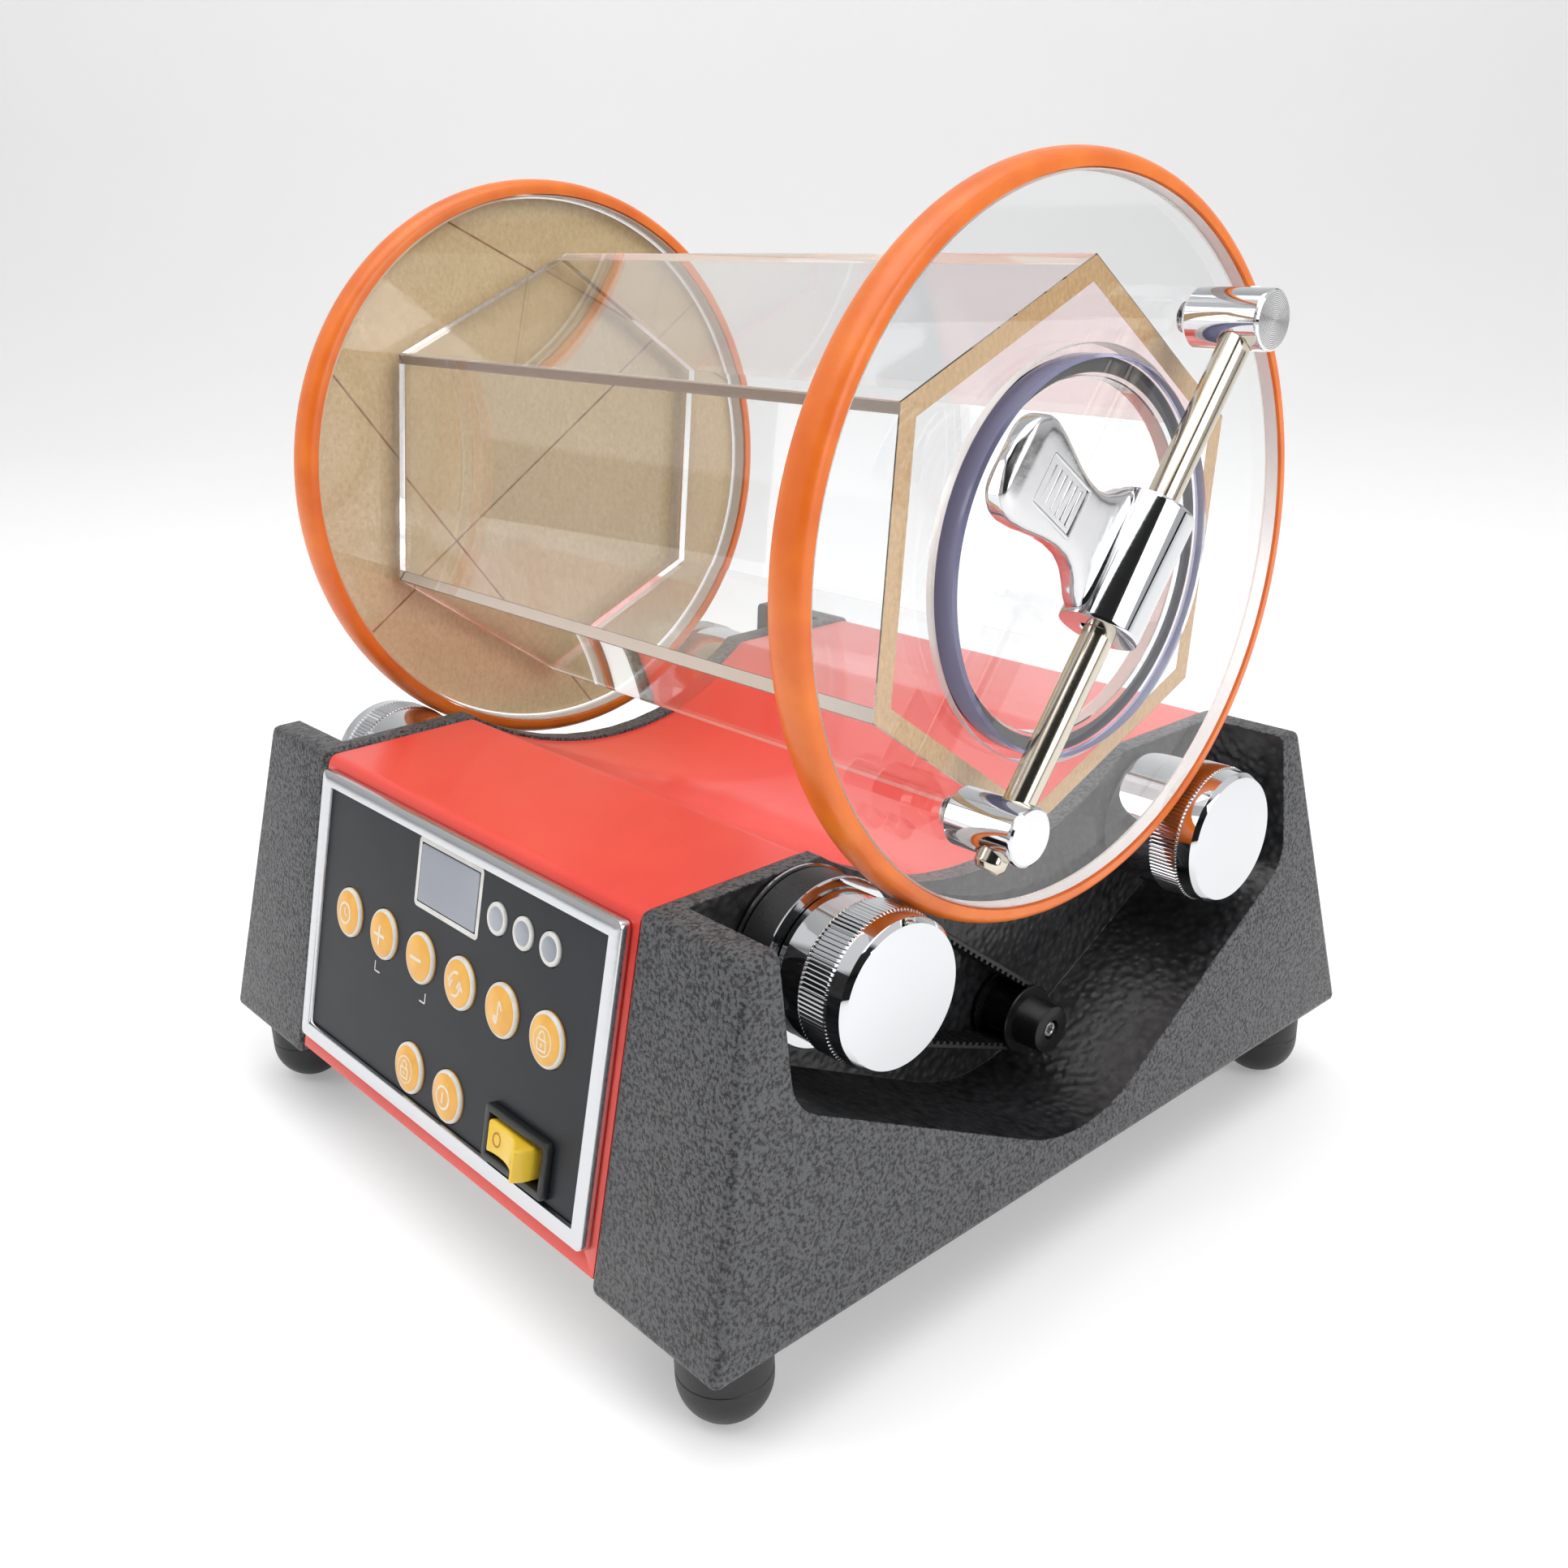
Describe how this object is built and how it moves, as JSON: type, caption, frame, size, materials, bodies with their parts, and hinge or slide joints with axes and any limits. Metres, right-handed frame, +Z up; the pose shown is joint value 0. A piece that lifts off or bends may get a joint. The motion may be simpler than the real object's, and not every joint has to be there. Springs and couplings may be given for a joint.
{
  "type": "rotary rock tumbler",
  "caption": "Benchtop rotary rock tumbler: clear hexagonal barrel on orange-tyred discs, chrome drive rollers, cast end frames, red body and a keypad.",
  "frame": {"origin": "on the table under the middle of the whole machine's footprint", "axes": "+Z up, +X towards the lid and clamp end, -Y towards the person at the control panel, so the panel faces -Y"},
  "size_m": [0.2738, 0.2743, 0.2896],
  "materials": {
    "hammered_casting": "hammered enamel, satin",
    "red_paint": "smooth satin paint",
    "polished_chrome": "polished",
    "brushed_steel": "brushed",
    "nickel_rod": "fine turned",
    "panel_film": "satin film",
    "amber_keys": "satin, slightly see-through",
    "yellow_plastic": "smooth",
    "display_plastic": "smooth",
    "black_plastic": "fine grain",
    "clear_acrylic": "polished, sawn edges frosted",
    "orange_rubber": "satin",
    "black_rubber": "matt",
    "kraft_paper": "matt masking paper",
    "board": "lacquered",
    "motor_steel": "plated"
  },
  "bodies": {
    "stand": {"end_frame_left": "hammered_casting", "end_frame_right": "hammered_casting", "body_cover": "red_paint", "base_plate": "brushed_steel", "foot_front_left": "black_rubber", "foot_front_right": "black_rubber", "foot_rear_left": "black_rubber", "foot_rear_right": "black_rubber", "bearing_front_left": "brushed_steel", "bearing_front_right": "brushed_steel", "bearing_rear_left": "brushed_steel", "bearing_rear_right": "brushed_steel", "front_bezel": "polished_chrome", "panel_overlay": "panel_film", "display_window": "display_plastic", "indicator_lamp_1": "display_plastic", "indicator_lamp_2": "display_plastic", "indicator_lamp_3": "display_plastic", "switch_housing": "black_plastic", "control_board": "board", "power_inlet": "black_plastic", "fuse_holder": "black_plastic", "motor": "motor_steel", "motor_bracket": "brushed_steel", "timing_belt": "black_rubber"},
    "drum": {"disc_right": "clear_acrylic", "disc_left": "clear_acrylic", "barrel": "clear_acrylic", "tyre_right": "orange_rubber", "tyre_left": "orange_rubber", "lid": "clear_acrylic", "lid_seal": "black_rubber", "clamp_post_upper": "polished_chrome", "clamp_post_lower": "polished_chrome", "protective_paper": "kraft_paper"},
    "clamp_rod": {"clamp_rod": "nickel_rod"},
    "clamp_lever": {"clamp_lever": "polished_chrome"},
    "drive_rollers": {"roller_front_right": "polished_chrome", "roller_front_left": "polished_chrome", "drive_shaft": "brushed_steel", "drive_pulley": "polished_chrome"},
    "idler_rollers": {"roller_rear_right": "polished_chrome", "roller_rear_left": "polished_chrome", "idler_shaft": "brushed_steel"},
    "motor_pulley": {"motor_pulley": "black_plastic", "motor_shaft": "brushed_steel", "pulley_screw": "brushed_steel"},
    "rocker": {"switch_rocker": "yellow_plastic"},
    "button_timer": {"button_timer": "amber_keys"},
    "button_faster": {"button_faster": "amber_keys"},
    "button_slower": {"button_slower": "amber_keys"},
    "button_direction": {"button_direction": "amber_keys"},
    "button_alarm": {"button_alarm": "amber_keys"},
    "button_memory_right": {"button_memory_right": "amber_keys"},
    "button_memory_left": {"button_memory_left": "amber_keys"},
    "button_start": {"button_start": "amber_keys"}
  },
  "joints": [
    {"name": "drum_spin", "type": "hinge", "parent": "stand", "child": "drum", "pos_m": [-0.0066, 0.0018, 0.1946], "axis": [1, 0, 0], "continuous": true},
    {"name": "drive_roller_spin", "type": "hinge", "parent": "stand", "child": "drive_rollers", "pos_m": [-0.0066, -0.0676, 0.1019], "axis": [1, 0, 0], "continuous": true},
    {"name": "idler_roller_spin", "type": "hinge", "parent": "stand", "child": "idler_rollers", "pos_m": [-0.0066, 0.0712, 0.1019], "axis": [1, 0, 0], "continuous": true},
    {"name": "motor_spin", "type": "hinge", "parent": "stand", "child": "motor_pulley", "pos_m": [-0.0066, 0.0106, 0.0556], "axis": [1, 0, 0], "continuous": true},
    {"name": "lever_turn", "type": "hinge", "parent": "drum", "child": "clamp_lever", "pos_m": [0.1274, 0.0018, 0.1946], "axis": [0, 0.6129, 0.7902], "range_deg": [0, 105]},
    {"name": "rod_draw", "type": "slide", "parent": "drum", "child": "clamp_rod", "axis": [0, 0.6129, 0.7902], "range_m": [0, 0.125]},
    {"name": "power_switch", "type": "hinge", "parent": "stand", "child": "rocker", "pos_m": [0.0394, -0.1271, 0.04891], "axis": [0, 0.2285, 0.9735], "range_deg": [0, 28]},
    {"name": "press_timer", "type": "slide", "parent": "stand", "child": "button_timer", "axis": [0, 0.9735, -0.2285], "range_m": [0, 0.0006], "stiffness_N_per_m": 300},
    {"name": "press_faster", "type": "slide", "parent": "stand", "child": "button_faster", "axis": [0, 0.9735, -0.2285], "range_m": [0, 0.0006], "stiffness_N_per_m": 300},
    {"name": "press_slower", "type": "slide", "parent": "stand", "child": "button_slower", "axis": [0, 0.9735, -0.2285], "range_m": [0, 0.0006], "stiffness_N_per_m": 300},
    {"name": "press_direction", "type": "slide", "parent": "stand", "child": "button_direction", "axis": [0, 0.9735, -0.2285], "range_m": [0, 0.0006], "stiffness_N_per_m": 300},
    {"name": "press_alarm", "type": "slide", "parent": "stand", "child": "button_alarm", "axis": [0, 0.9735, -0.2285], "range_m": [0, 0.0006], "stiffness_N_per_m": 300},
    {"name": "press_memory_right", "type": "slide", "parent": "stand", "child": "button_memory_right", "axis": [0, 0.9735, -0.2285], "range_m": [0, 0.0006], "stiffness_N_per_m": 300},
    {"name": "press_memory_left", "type": "slide", "parent": "stand", "child": "button_memory_left", "axis": [0, 0.9735, -0.2285], "range_m": [0, 0.0006], "stiffness_N_per_m": 300},
    {"name": "press_start", "type": "slide", "parent": "stand", "child": "button_start", "axis": [0, 0.9735, -0.2285], "range_m": [0, 0.0006], "stiffness_N_per_m": 300}
  ],
  "couplings": [
    {"joint": "drive_roller_spin", "follows": "drum_spin", "ratio": -4.6341},
    {"joint": "idler_roller_spin", "follows": "drum_spin", "ratio": -4.6341},
    {"joint": "motor_spin", "follows": "drum_spin", "ratio": -10.71}
  ]
}
